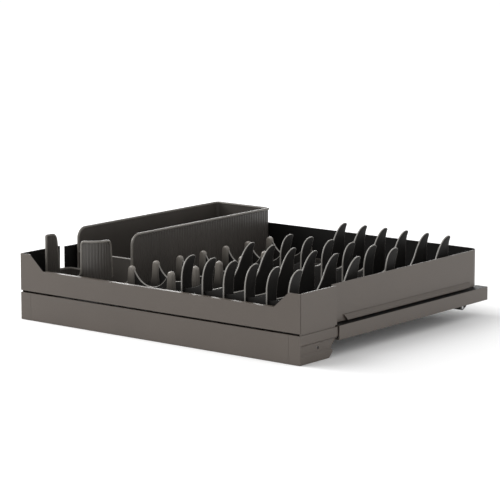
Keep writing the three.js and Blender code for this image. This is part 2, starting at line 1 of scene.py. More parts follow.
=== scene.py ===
"""Looks of a pull-out dish drying rack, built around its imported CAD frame.

Shapes are worked out in millimetres, in the frame's axes: X to the right, Y to the back, Z up.
They become metres when a mesh is made.
"""

import json
import math

import bmesh
import bpy
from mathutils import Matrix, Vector


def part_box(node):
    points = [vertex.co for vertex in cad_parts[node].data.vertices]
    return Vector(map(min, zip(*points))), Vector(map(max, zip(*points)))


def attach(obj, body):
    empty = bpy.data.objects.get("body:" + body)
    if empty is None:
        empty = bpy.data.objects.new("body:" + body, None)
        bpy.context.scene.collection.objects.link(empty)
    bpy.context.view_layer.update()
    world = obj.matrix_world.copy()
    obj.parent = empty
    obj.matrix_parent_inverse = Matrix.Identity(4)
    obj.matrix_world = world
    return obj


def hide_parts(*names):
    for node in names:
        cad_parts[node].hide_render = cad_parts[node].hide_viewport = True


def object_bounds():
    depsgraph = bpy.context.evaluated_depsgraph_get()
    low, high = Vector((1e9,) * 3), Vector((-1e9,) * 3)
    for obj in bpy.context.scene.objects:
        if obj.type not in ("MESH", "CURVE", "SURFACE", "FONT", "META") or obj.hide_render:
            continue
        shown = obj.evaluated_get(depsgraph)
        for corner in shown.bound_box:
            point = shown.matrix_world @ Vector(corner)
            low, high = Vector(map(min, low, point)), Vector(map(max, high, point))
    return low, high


MM = 0.001

# ---- camera ----
CAMERA_AZIMUTH = 38.495
CAMERA_ELEVATION = 9.819
CAMERA_DISTANCE = 3.868
CAMERA_LENS = 173.6
CAMERA_TARGET = Vector((-0.0107, 0.0005, 0.1068))

# ---- inserts, in millimetres from each insert's own lowest corner ----
BASE_THICK = 2.5
BASE_CORNER = 10
BASE_EDGE = 0.8
FOOT_CHAMFER = 0.8

BEAD_PROUD = 0.7  # how far a fluted wall is set back under its rim bead
WALL_SAVED = 0.4  # how much thinner a fluted wall is than the CAD wall
WALL_LEAN = 0.4  # keeps the two ends of an upright edge at different stations
FLUTE_STEPS = 6

BOX_WALL = 2.0
BOX_LIP = 1.6  # how far the CAD rim stands out from the wall
BOX_CORNER = 8.0
BOX_LOW = 9.7
BOX_CROSS = 45.7
BOX_TALL_FRONT = 107.0
BOX_BEAD = 2.1
BOX_FLUTE = 6.5
BOX_FLUTE_DEPTH = 0.7

CADDY_RADIUS = 29.5
CADDY_SADDLE = 22.0
CADDY_WALL = 1.8
CADDY_BEAD = 2.0
CADDY_FLUTE = 5.2
CADDY_FLUTE_DEPTH = 1.0
CADDY_INSIDE_DEPTH = 0.5
CADDY_CORNER = 8.0
CADDY_TAB = (6.0, 36.0)  # front and rear foot of the left tab
CADDY_CURVE_REAR = 46.0  # rear foot of the tall curved wall

CRADLE_COUNT = 7
CRADLE_PITCH = 58.6
CRADLE_FIRST = 56.0
CRADLE_LOW = 18.0
CRADLE_SHOULDER = 2.7  # how far the U ends below the horn tips
CRADLE_HALF = (1.9, 1.2)  # half thickness at the foot and at the top
CRADLE_EDGE = 0.9
HORN_X = (40.0, 121.0)
HORN_WIDTH = 12.5
HORN_HALF = (4.8, 3.9)
HORN_EDGE = 3.3

FIN_COUNT = 6
FIN_PITCH = 41.0
FIN_FIRST = 21.0
FIN_FRONT = 9.0
FIN_DIP = 21.0
FIN_BACK = 171.0
FIN_HALF = (1.6, 1.05)
FIN_EDGE = 0.95
WEB_MIDDLE = FIN_FRONT + 5.25
WEB_HALF = 1.25
WEB_EDGE = 0.7

DRAIN_HALF = 2.0
DRAIN_MARGIN = 22.0
DRAIN_RIB = 6.0  # from the bowl rack's middle line to its slots
BOWL_DRAINS = (-12, 0, 12)  # from the middle between two cradles
PLATE_DRAINS = [34.0 + 22.0 * i for i in range(8)]

# ---- CAD nodes: finish and softened edges ----
EDGE_WIDTH = {
    "coated_steel": 0.5,
    "coated_dark": 0.35,
    "zinc_steel": 0.2,
    "dark_plastic": 0.4,
    "glide_nylon": 0.5,
    "bumper_rubber": 0.5,
}
# Painted shade: the inward faces of these tray nodes get a near-black coat that stands in for the shade
# inside the tray.
PAINTED_SHADE_NODES = ("tray_wall", "side_return_left", "side_return_right", "front_panel", "tray_floor")
TRAY_FLOOR_TOP = 0.0485  # metres, with a little to spare
RAIL_TOP = 0.044  # metres, with a little to spare
SHARP_ANGLE = math.radians(38)
BEVEL_ANGLE = math.radians(40)

# ---- light ----
WORLD_STRENGTH = 0.74
KEY_STRENGTH = 1.6
KEY_SPREAD = math.radians(50)
KEY_FROM = (-0.62, -0.25, 0.75)
SOFTBOXES = (  # name, place, diameter, watts
    ("left_light", (-1.7, -0.5, 0.9), 0.8, 17),
    ("rim_light", (-2.5, 3.1, 1.0), 1.7, 34),
    ("side_light", (3.2, 0.3, 0.3), 1.4, 18),
)

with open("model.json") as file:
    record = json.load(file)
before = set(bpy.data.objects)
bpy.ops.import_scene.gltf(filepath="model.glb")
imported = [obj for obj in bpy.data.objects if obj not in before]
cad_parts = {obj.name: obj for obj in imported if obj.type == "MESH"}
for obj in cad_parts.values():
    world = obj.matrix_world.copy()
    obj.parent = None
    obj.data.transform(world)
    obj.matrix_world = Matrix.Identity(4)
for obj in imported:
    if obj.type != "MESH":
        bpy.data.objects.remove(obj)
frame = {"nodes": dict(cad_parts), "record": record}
cad_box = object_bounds()


# ---- materials ----
def node_material(name):
    material = bpy.data.materials.new(name)
    material.use_nodes = True
    return material, material.node_tree.nodes, material.node_tree.links


def noise(nodes, links, scale, detail=3.0, stretch=(1.0, 1.0, 1.0)):
    """A noise texture over the piece's own coordinates, stretched along its axes."""
    coordinates = nodes.new("ShaderNodeTexCoord")
    mapping = nodes.new("ShaderNodeMapping")
    mapping.inputs["Scale"].default_value = stretch
    texture = nodes.new("ShaderNodeTexNoise")
    texture.inputs["Scale"].default_value = scale
    texture.inputs["Detail"].default_value = detail
    links.new(coordinates.outputs["Object"], mapping.inputs["Vector"])
    links.new(mapping.outputs["Vector"], texture.inputs["Vector"])
    return texture.outputs["Fac"]


def ramp(nodes, links, factor, stops):
    """Colours along a 0-1 factor; stops are (position, (r, g, b))."""
    node = nodes.new("ShaderNodeValToRGB")
    band = node.color_ramp
    while len(band.elements) < len(stops):
        band.elements.new(0.5)
    for element, (position, colour) in zip(band.elements, stops):
        element.position = position
        element.color = (*colour, 1.0)
    links.new(factor, node.inputs["Fac"])
    return node.outputs["Color"]


def spread(nodes, links, factor, low, high):
    """Maps a 0-1 factor onto low-high."""
    node = nodes.new("ShaderNodeMapRange")
    node.inputs["To Min"].default_value = low
    node.inputs["To Max"].default_value = high
    links.new(factor, node.inputs["Value"])
    return node.outputs["Result"]


def bump(nodes, links, height, distance, strength=1.0, below=None):
    node = nodes.new("ShaderNodeBump")
    node.inputs["Distance"].default_value = distance
    node.inputs["Strength"].default_value = strength
    links.new(height, node.inputs["Height"])
    if below is not None:
        links.new(below, node.inputs["Normal"])
    return node.outputs["Normal"]


def multiply(nodes, links, tone_a, tone_b):
    mix = nodes.new("ShaderNodeMix")
    mix.data_type = "RGBA"
    mix.blend_type = "MULTIPLY"
    mix.inputs["Factor"].default_value = 1.0
    links.new(tone_a, mix.inputs["A"])
    links.new(tone_b, mix.inputs["B"])
    return mix.outputs["Result"]


def height_ramp(nodes, links, low, high):
    """Grey that rises from dark to white between two heights of the piece."""
    coordinates = nodes.new("ShaderNodeTexCoord")
    split = nodes.new("ShaderNodeSeparateXYZ")
    links.new(coordinates.outputs["Object"], split.inputs["Vector"])
    rise = nodes.new("ShaderNodeMapRange")
    rise.inputs["From Min"].default_value = low
    rise.inputs["From Max"].default_value = high
    links.new(split.outputs["Z"], rise.inputs["Value"])
    greys = [(0.0, (0.12, 0.12, 0.12)), (1.0, (1.0, 1.0, 1.0))]
    return ramp(nodes, links, rise.outputs["Result"], greys)


def shade(colour, amount):
    return tuple(channel * amount for channel in colour)


def powder_coat(name, colour, roughness, specular=0.5):
    """Satin powder coat: slow tone drift, fine speckle and an orange-peel surface."""
    material, nodes, links = node_material(name)
    shader = nodes["Principled BSDF"]
    drift = noise(nodes, links, 9.0, 2.0)
    speckle = noise(nodes, links, 2600.0, 2.0)
    tone = ramp(nodes, links, drift, [(0.3, shade(colour, 0.95)), (0.7, shade(colour, 1.05))])
    grain = ramp(nodes, links, speckle, [(0.35, (0.86, 0.86, 0.86)), (0.7, (1.12, 1.12, 1.12))])
    links.new(multiply(nodes, links, tone, grain), shader.inputs["Base Color"])
    links.new(spread(nodes, links, drift, roughness - 0.04, roughness + 0.05), shader.inputs["Roughness"])
    shader.inputs["Metallic"].default_value = 0.15
    shader.inputs["Specular IOR Level"].default_value = specular
    peel = bump(nodes, links, noise(nodes, links, 900.0, 2.0), 0.00006, 0.6)
    links.new(bump(nodes, links, speckle, 0.00002, 0.5, peel), shader.inputs["Normal"])
    return material


def moulded_plastic(name, colour, roughness, specular=0.5, painted_light_span=None):
    """Injection-moulded polypropylene: faint flow marks along the mould and a spark-eroded grain.

    Its last argument, if given, holds two heights in metres, between which the plastic goes from dark to its
    full tone: painted shade low down that turns into painted top light.
    """
    material, nodes, links = node_material(name)
    shader = nodes["Principled BSDF"]
    flow = noise(nodes, links, 14.0, 3.0, (1.0, 1.0, 0.4))
    grain = noise(nodes, links, 1800.0, 3.0)
    tone = ramp(nodes, links, flow, [(0.3, shade(colour, 0.9)), (0.72, shade(colour, 1.12))])
    if painted_light_span:
        tone = multiply(nodes, links, tone, height_ramp(nodes, links, *painted_light_span))
    links.new(tone, shader.inputs["Base Color"])
    links.new(spread(nodes, links, grain, roughness - 0.06, roughness + 0.08), shader.inputs["Roughness"])
    shader.inputs["Specular IOR Level"].default_value = specular
    links.new(bump(nodes, links, grain, 0.00005, 0.5), shader.inputs["Normal"])
    return material


def zinc_plate(name):
    """Zinc-plated steel: drawn along Y, with a cloudy passivation tone."""
    material, nodes, links = node_material(name)
    shader = nodes["Principled BSDF"]
    clouds = noise(nodes, links, 40.0, 4.0)
    drawn = noise(nodes, links, 700.0, 2.0, (1.0, 0.03, 1.0))
    tone = ramp(nodes, links, clouds, [(0.3, (0.34, 0.34, 0.33)), (0.7, (0.47, 0.47, 0.48))])
    links.new(tone, shader.inputs["Base Color"])
    links.new(spread(nodes, links, drawn, 0.28, 0.45), shader.inputs["Roughness"])
    shader.inputs["Metallic"].default_value = 1.0
    links.new(bump(nodes, links, drawn, 0.00003, 0.4), shader.inputs["Normal"])
    return material


LOOKS = {
    "coated_steel": powder_coat("powder_coat_grey_brown", (0.086, 0.071, 0.059), 0.36),
    "coated_dark": powder_coat("powder_coat_dark", (0.03, 0.028, 0.026), 0.5),
    "zinc_steel": zinc_plate("zinc_plate"),
    "dark_plastic": moulded_plastic("anthracite_plastic", (0.056, 0.050, 0.044), 0.36),
    "glide_nylon": moulded_plastic("natural_nylon", (0.58, 0.56, 0.5), 0.45),
    "bumper_rubber": moulded_plastic("black_rubber", (0.012, 0.012, 0.012), 0.75),
}
# Painted shade: a near-black, low-shine copy of the powder coat, for the shaded inside of the tray and the
# rails' upper faces.
PAINTED_SHADE_COAT = powder_coat("powder_coat_painted_shade", (0.008, 0.0075, 0.007), 0.55, 0.2)
# Painted highlight: a far paler copy of the anthracite plastic, on the containers' rim beads and rounded
# edges.
RIM_PAINTED_HIGHLIGHT = moulded_plastic("anthracite_rim_painted_highlight", (0.15, 0.138, 0.122), 0.28)
# Painted shade: a near-black, low-shine copy of the anthracite plastic, on the flat faces of fins, cradles,
# webs and bases.
THIN_PAINTED_SHADE = moulded_plastic("anthracite_painted_shade", (0.013, 0.012, 0.011), 0.45, 0.15)
# Painted highlight: a far paler copy of the anthracite plastic, on the rounded edges of fins, cradles and
# webs.
THIN_PAINTED_HIGHLIGHT = moulded_plastic("anthracite_painted_edge_highlight", (0.23, 0.218, 0.2), 0.28)
# Painted light: a paler copy of the anthracite plastic for the horns, with painted shade low down that rises
# into painted top light.
HORN_PAINTED_LIGHT = moulded_plastic("anthracite_horn_painted_light", (0.22, 0.2, 0.175), 0.3, 0.5, (0.008, 0.047))
CONTAINER_LOOKS = (LOOKS["dark_plastic"], RIM_PAINTED_HIGHLIGHT)
THIN_PAINTED_LOOKS = (THIN_PAINTED_SHADE, THIN_PAINTED_HIGHLIGHT, HORN_PAINTED_LIGHT)
PAINTED_SHADE_INDEX, HORN_PAINTED_LIGHT_INDEX = 0, 2


# ---- outlines: closed lists of (u, v), anticlockwise ----
def cubic(start, control_a, control_b, end, steps=10):
    """Points of a cubic curve after its start."""
    points = []
    for i in range(1, steps + 1):
        t = i / steps
        weights = ((1 - t) ** 3, 3 * t * (1 - t) ** 2, 3 * t * t * (1 - t), t**3)
        knots = (start, control_a, control_b, end)
        points.append(tuple(sum(w * k[axis] for w, k in zip(weights, knots)) for axis in (0, 1)))
    return points


def quadratic(start, control, end, steps=6):
    third = [tuple(a + (c - a) * 2 / 3 for a, c in zip(p, control)) for p in (start, end)]
    return cubic(start, *third, end, steps)


def arc(centre, radius, start_deg, end_deg, steps=8):
    points = []
    for i in range(steps + 1):
        angle = math.radians(start_deg + (end_deg - start_deg) * i / steps)
        points.append((centre[0] + radius * math.cos(angle), centre[1] + radius * math.sin(angle)))
    return points


def rounded_rectangle(x0, x1, y0, y1, radius, steps=6):
    corners = [(x1, y0, -90), (x1, y1, 0), (x0, y1, 90), (x0, y0, 180)]
    points = []
    for x, y, start in corners:
        inward = (math.copysign(radius, x - (x0 + x1) / 2), math.copysign(radius, y - (y0 + y1) / 2))
        points += arc((x - inward[0], y - inward[1]), radius, start, start + 90, steps)
    return points


def edge_normals(points):
    """Unit normals pointing out of an anticlockwise outline, one for each point, and their mitre factors."""
    result = []
    for i, (x, y) in enumerate(points):
        px, py = points[i - 1]
        nx, ny = points[(i + 1) % len(points)]
        before = Vector((y - py, px - x)).normalized()
        after = Vector((ny - y, x - nx)).normalized()
        middle = (before + after).normalized()
        result.append((middle, 1 / max(0.5, middle.dot(after))))
    return result


def moved_out(points, distance):
    return [
        (x + n.x * distance * mitre, y + n.y * distance * mitre)
        for (x, y), (n, mitre) in zip(points, edge_normals(points))
    ]


# ---- solids: each is a closed bmesh, in metres ----
def along_x(u, v, w):
    return (w, u, v)


def along_y(u, v, w):
    return (u, w, v)


def along_z(u, v, w):
    return (u, v, w)


def skin(bm, rings, closed_ends=True, use_painted_highlight=False):
    """Joins rings of vertices with quads, and closes both ends. If asked, the side quads take the piece's
    second look, a painted highlight.
    """
    for low, high in zip(rings, rings[1:]):
        count = len(low)
        for i in range(count):
            j = (i + 1) % count
            face = bm.faces.new((low[i], low[j], high[j], high[i]))
            face.material_index = int(use_painted_highlight)
    if closed_ends:
        bm.faces.new(tuple(reversed(rings[0])))
        bm.faces.new(tuple(rings[-1]))
    return bm


def metre_ring(bm, points):
    return [bm.verts.new(Vector(p) * MM) for p in points]


def slab(outline, half_at, edge, place, middle=0.0, steps=3):
    """A plate with rounded edges, which take the piece's painted highlight look unless the caller gives the
    whole plate one look. half_at(u, v) is its half thickness, which may taper.
    """
    bm = bmesh.new()
    rings = []
    for side in (-1, 1):
        for i in range(steps + 1):
            turn = math.radians(90 * (1 - i / steps if side < 0 else i / steps))
            inset = edge * (1 - math.cos(turn))
            rise = edge * math.sin(turn)
            points = []
            for (u, v), (pu, pv) in zip(moved_out(outline, -inset), outline):
                points.append(place(u, v, middle + side * (half_at(pu, pv) - edge + rise)))
            rings.append(metre_ring(bm, points))
    skin(bm, rings, use_painted_highlight=True)
    bmesh.ops.recalc_face_normals(bm, faces=bm.faces)
    return bm


def even(half):
    return lambda u, v: half


def tapered(half_low, half_high, height):
    """Half thickness that shrinks with the height v."""
    return lambda u, v: half_low + (half_high - half_low) * min(max(v / height, 0.0), 1.0)


def ring_offsets(side, up, radius, sides):
    """A circle's points about its middle, in the plane of two unit directions."""
    turns = [math.tau * k / sides for k in range(sides)]
    return [radius * (math.cos(a) * side + math.sin(a) * up) for a in turns]


def tube(path, outward, radius, sides=10):
    """A round bead along a closed path of 3D points. outward gives each point's level side direction."""
    bm = bmesh.new()
    rings = []
    count = len(path)
    for i, point in enumerate(path):
        back = (point - path[i - 1]).normalized()
        ahead = (path[(i + 1) % count] - point).normalized()
        tangent = (back + ahead).normalized()
        side = outward[i]
        up = side.cross(tangent).normalized()
        rings.append(metre_ring(bm, [point + c for c in ring_offsets(side, up, radius, sides)]))
    rings.append(rings[0])
    skin(bm, rings, closed_ends=False, use_painted_highlight=True)
    bmesh.ops.recalc_face_normals(bm, faces=bm.faces)
    return bm


def bar_bead(start, end, radius, sides=12):
    """A straight round bead between two 3D points."""
    axis = (end - start).normalized()
    side = axis.cross(Vector((0, 1, 0))).normalized()
    up = axis.cross(side)
    bm = bmesh.new()
    circle = ring_offsets(side, up, radius, sides)
    skin(bm, [metre_ring(bm, [centre + c for c in circle]) for centre in (start, end)], use_painted_highlight=True)
    bmesh.ops.recalc_face_normals(bm, faces=bm.faces)
    return bm


def fluted_shell(columns, heights, thickness, floor, flute, depth, inside_depth=0.0):
    """An open-topped container. columns is its plan, anticlockwise; heights is the rim above each column."""
    normals = [n for n, _ in edge_normals(columns)]
    along = 0.0
    outer, inner = [], []
    for i, ((x, y), n) in enumerate(zip(columns, normals)):
        ridge = abs(math.sin(math.pi * along / flute))
        out = depth * (ridge - 1)
        back = -thickness - inside_depth * (1 - ridge)
        outer.append((x + n.x * out, y + n.y * out))
        inner.append((x + n.x * back, y + n.y * back))
        nx, ny = columns[(i + 1) % len(columns)]
        along += math.hypot(nx - x, ny - y)
    foot = moved_out(columns, -FOOT_CHAMFER - depth)
    bm = bmesh.new()
    rings = [metre_ring(bm, [(x, y, 0.0) for x, y in foot])]
    rings.append(metre_ring(bm, [(x, y, FOOT_CHAMFER) for x, y in outer]))
    for share in (0.5, 1.0):
        rings.append(metre_ring(bm, [(x, y, h * share) for (x, y), h in zip(outer, heights)]))
    for share in (1.0, 0.5):
        rings.append(metre_ring(bm, [(x, y, h * share) for (x, y), h in zip(inner, heights)]))
    rings.append(metre_ring(bm, [(x, y, floor) for x, y in inner]))
    skin(bm, rings)
    bmesh.ops.recalc_face_normals(bm, faces=bm.faces)
    return bm


def rim_bead(columns, heights, thickness, radius):
    """A bead along a container's rim, centred on its wall."""
    middle = moved_out(columns, -thickness / 2)
    path = [Vector((x, y, h - radius)) for (x, y), h in zip(middle, heights)]
    outward = [Vector((n.x, n.y, 0)) for n, _ in edge_normals(columns)]
    return tube(path, outward, radius)


# ---- pieces ----
def mesh_object(bm, name, looks=()):
    mesh = bpy.data.meshes.new(name)
    bm.to_mesh(mesh)
    bm.free()
    for look in looks:
        mesh.materials.append(look)
    piece = bpy.data.objects.new(name, mesh)
    bpy.context.scene.collection.objects.link(piece)
    return piece


def boolean(piece, others, operation):
    """Joins the others to the piece, or cuts them out of it, and removes them."""
    for other in others:
        modifier = piece.modifiers.new("join", "BOOLEAN")
        modifier.operation = operation
        modifier.solver = "MANIFOLD"
        modifier.object = other
    bpy.context.view_layer.update()
    evaluated = piece.evaluated_get(bpy.context.evaluated_depsgraph_get())
    mesh = bpy.data.meshes.new_from_object(evaluated)
    piece.modifiers.clear()
    piece.data = mesh
    for other in others:
        bpy.data.objects.remove(other)


def joined(name, looks, solids, cuts=()):
    """One plastic moulding made of closed solids that overlap, less the cuts."""
    whole = mesh_object(solids[0], name, looks)
    boolean(whole, [mesh_object(s, f"{name}_part", looks) for s in solids[1:]], "UNION")
    if cuts:
        boolean(whole, [mesh_object(c, f"{name}_cut", looks) for c in cuts], "DIFFERENCE")
    return whole


def finish_insert(piece, node, corner):
    """Places an insert whose own origin is its node's lowest corner. Node and body have the same name."""
    piece.location = corner
    piece.data.shade_smooth()
    piece.data.set_sharp_from_angle(angle=SHARP_ANGLE)
    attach(piece, node)
    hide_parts(node)


# ---- utensil box ----
def box_profile(tall):
    """The side walls' top line as (y, z): low at the front, then up the tall wall's rounded front edge."""
    foot = arc((BOX_TALL_FRONT - WALL_LEAN - 15, BOX_LOW + 15), 15, -90, 0)
    head = arc((BOX_TALL_FRONT + 16, tall - 16), 16, 180, 90)
    return [(0.0, BOX_LOW), *foot, *head, (1000.0, tall)]


def height_at(profile, value):
    for (a, low), (b, high) in zip(profile, profile[1:]):
        if value <= b:
            return low + (high - low) * (value - a) / max(b - a, 1e-6)
    return profile[-1][1]


def stations(start, end, step, extra=()):
    """Evenly spaced values from start to end, with the extra ones that lie between them."""
    count = max(1, round((end - start) / step))
    values = {start + (end - start) * i / count for i in range(count + 1)}
    values |= {v for v in extra if start < v < end}
    kept = []
    for value in sorted(values):
        if not kept or value - kept[-1] > 0.02:
            kept.append(value)
    return kept


def box_columns(width, length, profile):
    """The box's plan, anticlockwise, with a station at every point of its top line."""
    step = BOX_FLUTE / FLUTE_STEPS
    r = BOX_CORNER
    ys = stations(r, length - r, step, [y for y, _ in profile])
    xs = stations(r, width - r, step)
    columns = arc((width - r, r), r, -90, 0, 10)[:-1]
    columns += [(width, y) for y in ys]
    columns += arc((width - r, length - r), r, 0, 90, 10)[1:-1]
    columns += [(x, length) for x in reversed(xs)]
    columns += arc((r, length - r), r, 90, 180, 10)[1:-1]
    columns += [(0.0, y) for y in reversed(ys)]
    columns += arc((r, r), r, 180, 270, 10)[1:-1]
    columns += [(x, 0.0) for x in xs[:-1]]
    return columns


def utensil_box():
    low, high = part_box("utensil_box")
    width = (high.x - low.x) / MM - 2 * BOX_LIP
    length = (high.y - low.y) / MM - BOX_LIP
    tall = (high.z - low.z) / MM
    profile = box_profile(tall)
    columns = box_columns(width, length, profile)
    heights = [height_at(profile, y) for _, y in columns]
    recessed = moved_out(columns, -BEAD_PROUD)
    shell = fluted_shell(recessed, heights, BOX_WALL - WALL_SAVED, BOX_WALL, BOX_FLUTE, BOX_FLUTE_DEPTH)
    rim = rim_bead(columns, heights, BOX_WALL, BOX_BEAD)
    inside = (BOX_WALL / 2, width - BOX_WALL / 2)
    cross = [(inside[0], 1.0), (inside[1], 1.0), (inside[1], BOX_CROSS - 1), (inside[0], BOX_CROSS - 1)]
    wall = slab(cross, even(1.0), 0.3, along_y, BOX_TALL_FRONT)
    ends = [Vector((x, BOX_TALL_FRONT, BOX_CROSS - 1.5)) for x in inside]
    piece = joined("utensil_box_moulding", CONTAINER_LOOKS, [shell, rim, wall, bar_bead(*ends, 1.5)])
    corner = Vector((low.x + BOX_LIP * MM, low.y, low.z))
    finish_insert(piece, "utensil_box", corner)


# ---- cutlery caddy ----
def rear_slope(foot, tall):
    """Rear edge of a tall wall, as (y, z): a rounded corner, then a slant down to its foot."""
    start = (foot - 18, tall)
    return [start, *cubic(start, (foot - 9, tall), (foot - 6.5, tall - 4), (foot - 5.5, tall - 14), 8),
            (foot, CADDY_SADDLE), (1000.0, CADDY_SADDLE)]


def caddy_profiles(straight, tall):
    """Top lines: by x along the front wall, by y along the left wall, and by y round the curved wall."""
    foot = arc((straight - WALL_LEAN - 12, CADDY_SADDLE + 12), 12, -90, 0)
    head = arc((straight + 6, tall - 6), 6, 180, 90)
    by_x = [(-100.0, CADDY_SADDLE), *foot, *head, (1000.0, tall)]
    front, back = CADDY_TAB
    rise = [(front - WALL_LEAN, CADDY_SADDLE), *arc((front + 2, tall - 2), 2, 180, 90, 4)]
    tab = [(-100.0, CADDY_SADDLE), *rise, *rear_slope(back, tall)]
    curve = [(-100.0, tall), *rear_slope(CADDY_CURVE_REAR, tall)]
    return by_x, tab, curve


def caddy_columns(straight, by_x, by_y, curve):
    """The caddy's plan, anticlockwise: a rectangle whose right end is a half circle."""
    step = CADDY_FLUTE / FLUTE_STEPS
    r, depth = CADDY_CORNER, 2 * CADDY_RADIUS
    xs = stations(r, straight, step, [x for x, _ in by_x])
    ys = stations(r, depth - r, step, [y for y, _ in by_y])
    beyond = sorted({min(max(x - straight, 0), CADDY_RADIUS) for x, _ in by_x})
    turns = [math.degrees(math.asin(b / CADDY_RADIUS)) for b in beyond]
    turns += [90 + math.degrees(math.asin(y / CADDY_RADIUS - 1)) for y, _ in curve if 0 < y < depth]
    columns = [(x, 0.0) for x in xs]
    for turn in stations(0.0, 180.0, 1.8, turns)[1:]:
        angle = math.radians(turn - 90)
        columns.append((straight + CADDY_RADIUS * math.cos(angle), CADDY_RADIUS * (1 + math.sin(angle))))
    columns += [(x, depth) for x in reversed(xs[:-1])]
    columns += arc((r, depth - r), r, 90, 180, 10)[1:-1]
    columns += [(0.0, y) for y in reversed(ys)]
    columns += arc((r, r), r, 180, 270, 14)[1:-1]
    return columns


def cutlery_caddy():
    low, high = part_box("cutlery_caddy")
    straight = (high.x - low.x) / MM - CADDY_RADIUS
    tall = (high.z - low.z) / MM
    by_x, tab, curve = caddy_profiles(straight, tall)
    columns = caddy_columns(straight, by_x, tab, curve)
    heights = []
    for x, y in columns:
        on_left = x < CADDY_CORNER - 0.1
        heights.append(height_at(tab, y) if on_left else min(height_at(by_x, x), height_at(curve, y)))
    shell = fluted_shell(
        moved_out(columns, -BEAD_PROUD),
        heights,
        CADDY_WALL - WALL_SAVED,
        CADDY_WALL,
        CADDY_FLUTE,
        CADDY_FLUTE_DEPTH,
        CADDY_INSIDE_DEPTH,
    )
    rim = rim_bead(columns, heights, CADDY_WALL, CADDY_BEAD)
    piece = joined("cutlery_caddy_moulding", CONTAINER_LOOKS, [shell, rim])
    finish_insert(piece, "cutlery_caddy", low)


# ---- bowl rack ----
def cradle_outline(top):
    """One U-shaped cradle in X-Z, from its foot up to the two horns."""
    left, right = HORN_X
    shoulder = top - CRADLE_SHOULDER
    middle = ((left + right) / 2, CRADLE_LOW)
    start, end = right - 4.5, left + 4.5
    points = [(left - 9, 0.5), (right + 9, 0.5), (right + 4, shoulder), (start, shoulder)]
    points += cubic((start, shoulder), (start - 5.5, shoulder - 13), (start - 17.5, CRADLE_LOW), middle, 16)
    points += cubic(middle, (end + 17.5, CRADLE_LOW), (end + 5.5, shoulder - 13), (end, shoulder), 16)
    points.append((left - 4, shoulder))
    return points


def horn_outline(centre, top):
    """A horn in X-Z: a round head that widens down to its foot."""
    half = HORN_WIDTH / 2
    head = arc((centre, top - half), half, 0, 180, 12)
    foot, waist = half + 5, half + 1.2
    left = [(centre - waist, top - 26)]
    return [(centre - foot, 0.5), (centre + foot, 0.5), (centre + waist, top - 26), *head, *left]


def with_look(bm, index):
    """Gives every face of a solid one of its piece's looks."""
    for face in bm.faces:
        face.material_index = index
    return bm


def insert_base(width, length):
    plan = rounded_rectangle(0, width, 0, length, BASE_CORNER)
    # The whole base takes the painted shade look.
    return with_look(slab(plan, even(BASE_THICK / 2), BASE_EDGE, along_z, BASE_THICK / 2), PAINTED_SHADE_INDEX)


def drain_slot(x0, x1, y):
    """A cutter for a round-ended slot along X, through the base."""
    plan = rounded_rectangle(x0, x1, y - DRAIN_HALF, y + DRAIN_HALF, DRAIN_HALF - 0.01)
    return slab(plan, even(4.0), 0.01, along_z, 1.0, 1)


def bowl_rack():
    low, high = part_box("bowl_rack")
    width, length, top = ((b - a) / MM for a, b in zip(low, high))
    solids = [insert_base(width, length)]
    for i in range(CRADLE_COUNT):
        y = CRADLE_FIRST + i * CRADLE_PITCH
        solids.append(slab(cradle_outline(top), tapered(*CRADLE_HALF, top), CRADLE_EDGE, along_y, y))
        for centre in HORN_X:
            horn = slab(horn_outline(centre, top), tapered(*HORN_HALF, top), HORN_EDGE, along_y, y, 6)
            # Each horn takes the horn look: painted shade low down, painted top light above.
            solids.append(with_look(horn, HORN_PAINTED_LIGHT_INDEX))
    cuts = []
    for i in range(CRADLE_COUNT + 1):
        middle = CRADLE_FIRST + (i - 0.5) * CRADLE_PITCH
        for offset in BOWL_DRAINS:
            y = middle + offset
            if 12 < y < length - 12:
                cuts.append(drain_slot(DRAIN_MARGIN, width / 2 - DRAIN_RIB, y))
                cuts.append(drain_slot(width / 2 + DRAIN_RIB, width - DRAIN_MARGIN, y))
    piece = joined("bowl_rack_moulding", THIN_PAINTED_LOOKS, solids, cuts)
    finish_insert(piece, "bowl_rack", low)


# ---- plate racks ----
def fin_outline(top):
    """Side view of a fin, as (y, z): an upright hook at the front and a leaning one at the back."""
    points = [(0.0, 0.5), (50.0, 0.5), (100.0, 0.5), (FIN_BACK, 0.5), (172.5, 46.0)]
    points += cubic((172.5, 46), (172, 60), (174, 71), (179, 78))
    points += quadratic((179, 78), (180, top), (172, top))
    points += cubic((172, top), (155, 80), (145, 62), (137, 47), 14)
    points += cubic((137, 47), (126, 34), (118, FIN_DIP), (98, FIN_DIP), 12)
    points += cubic((50, FIN_DIP), (35, FIN_DIP), (25, 25), (24, 36), 12)
    points += cubic((24, 36), (23, 54), (28, 66), (33, 77), 10)
    points += quadratic((33, 77), (34, top), (26, top))
    points += cubic((26, top), (9, top), (1, 66), (0, 50), 14)
    return points


def web_outline():
    """The scalloped web between two fins, as (x, z) from the left fin."""
    points = [(0.0, 0.5), (FIN_PITCH, 0.5), (FIN_PITCH, 48.0)]
    return points + quadratic((FIN_PITCH, 48), (FIN_PITCH * 0.72, 36), (0, 34), 10)


